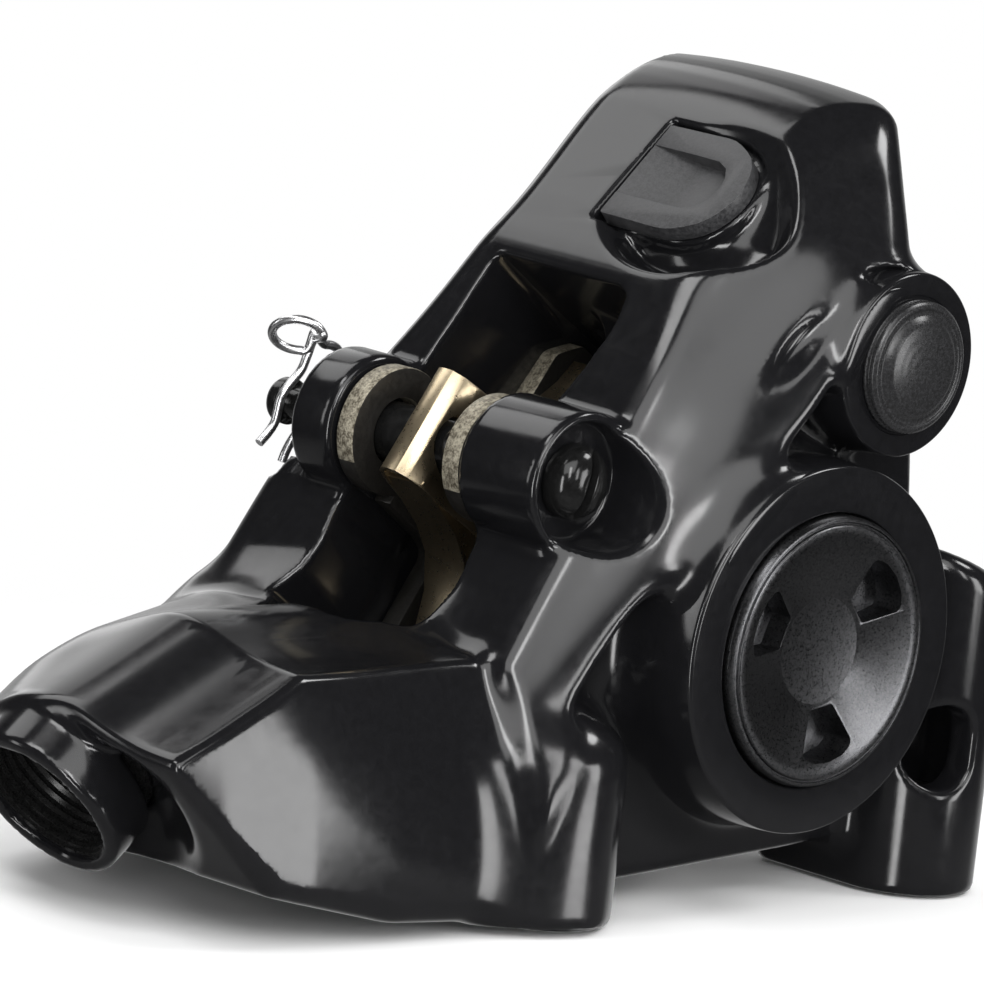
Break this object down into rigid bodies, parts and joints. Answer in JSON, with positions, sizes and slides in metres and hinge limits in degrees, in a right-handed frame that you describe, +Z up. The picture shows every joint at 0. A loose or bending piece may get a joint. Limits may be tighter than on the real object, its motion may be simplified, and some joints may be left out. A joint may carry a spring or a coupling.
{
  "type": "bicycle disc brake caliper",
  "caption": "Black hydraulic disc brake caliper for a bicycle: sloping body on mount legs, with pads, gold leaf spring, clipped pad pin, round bore cap, valve plug and open hose port.",
  "frame": {"origin": "middle of the two tapped mount holes, on the mount face", "axes": "+X along the line of the mount holes towards the tall end, -Y the outer face with the bore cap, +Z up from the mount face"},
  "size_m": [0.0744, 0.0388, 0.0517],
  "materials": {
    "body_black": "gloss black coating over cast aluminium",
    "cap_dark_metal": "dark grainy anodising with a bright turned rim",
    "seal_rubber": "matte",
    "piston_metal": "hard coated, satin",
    "plate_steel": "stamped edges, dark faces",
    "lining": "coarse friction compound",
    "spring_gold": "thin sprung leaf, satin",
    "pin_black": "gloss black",
    "clip_steel": "drawn wire, bright",
    "cap_rubber": "matte, finely mottled",
    "nipple_steel": "satin",
    "plug_black": "satin black with bright turned edges"
  },
  "bodies": {
    "housing": {"caliper_body": "body_black", "outer_piston_seal": "seal_rubber", "inner_piston_seal": "seal_rubber", "cross_ball": "nipple_steel", "pad_spring": "spring_gold"},
    "bore_cap": {"bore_cap": "cap_dark_metal", "bore_cap_seal": "seal_rubber"},
    "outer_piston": {"outer_piston": "piston_metal"},
    "inner_piston": {"inner_piston": "piston_metal"},
    "outer_pad": {"outer_pad_plate": "plate_steel", "outer_pad_lining": "lining"},
    "inner_pad": {"inner_pad_plate": "plate_steel", "inner_pad_lining": "lining"},
    "pin": {"pad_pin": "pin_black", "pin_ring": "seal_rubber"},
    "clip": {"pin_clip": "clip_steel"},
    "bleed_cap": {"bleed_cap": "cap_rubber"},
    "nipple": {"bleed_nipple": "nipple_steel", "bleed_seal": "seal_rubber"},
    "valve": {"valve_plug": "plug_black", "valve_seal": "seal_rubber"}
  },
  "joints": [
    {"name": "outer_piston_push", "type": "slide", "parent": "housing", "child": "outer_piston", "axis": [0, 1, 0], "range_m": [0, 0.0003], "stiffness_N_per_m": 900, "deforming": ["pad_spring"]},
    {"name": "inner_piston_push", "type": "slide", "parent": "housing", "child": "inner_piston", "axis": [0, -1, 0], "range_m": [0, 0.0003], "stiffness_N_per_m": 900},
    {"name": "outer_pad_push", "type": "slide", "parent": "housing", "child": "outer_pad", "axis": [0, 1, 0], "range_m": [0, 0.0003], "stiffness_N_per_m": 900},
    {"name": "inner_pad_push", "type": "slide", "parent": "housing", "child": "inner_pad", "axis": [0, -1, 0], "range_m": [0, 0.0003], "stiffness_N_per_m": 900},
    {"name": "pin_turn", "type": "hinge", "parent": "housing", "child": "pin", "pos_m": [-0.0162, 0.013, 0.02736], "axis": [0, 1, 0], "continuous": true},
    {"name": "clip_swing", "type": "hinge", "parent": "housing", "child": "clip", "pos_m": [-0.0162, 0.026, 0.02736], "axis": [0, 1, 0], "range_deg": [-6, 6]},
    {"name": "bore_cap_turn", "type": "hinge", "parent": "housing", "child": "bore_cap", "pos_m": [0, -0.005, 0.0174], "axis": [0, -1, 0], "continuous": true},
    {"name": "bleed_cap_lift", "type": "slide", "parent": "housing", "child": "bleed_cap", "axis": [-0.6896, 0, 0.7242], "range_m": [0, 0.008]},
    {"name": "nipple_turn", "type": "hinge", "parent": "housing", "child": "nipple", "pos_m": [-0.0022, 0.0072, 0.04485], "axis": [-0.6896, 0, 0.7242], "continuous": true},
    {"name": "valve_turn", "type": "hinge", "parent": "housing", "child": "valve", "pos_m": [0.0066, -0.005, 0.0352], "axis": [0, -1, 0], "continuous": true}
  ],
  "couplings": [
    {"joint": "inner_piston_push", "follows": "outer_piston_push", "ratio": 1},
    {"joint": "outer_pad_push", "follows": "outer_piston_push", "ratio": 1},
    {"joint": "inner_pad_push", "follows": "outer_piston_push", "ratio": 1}
  ]
}
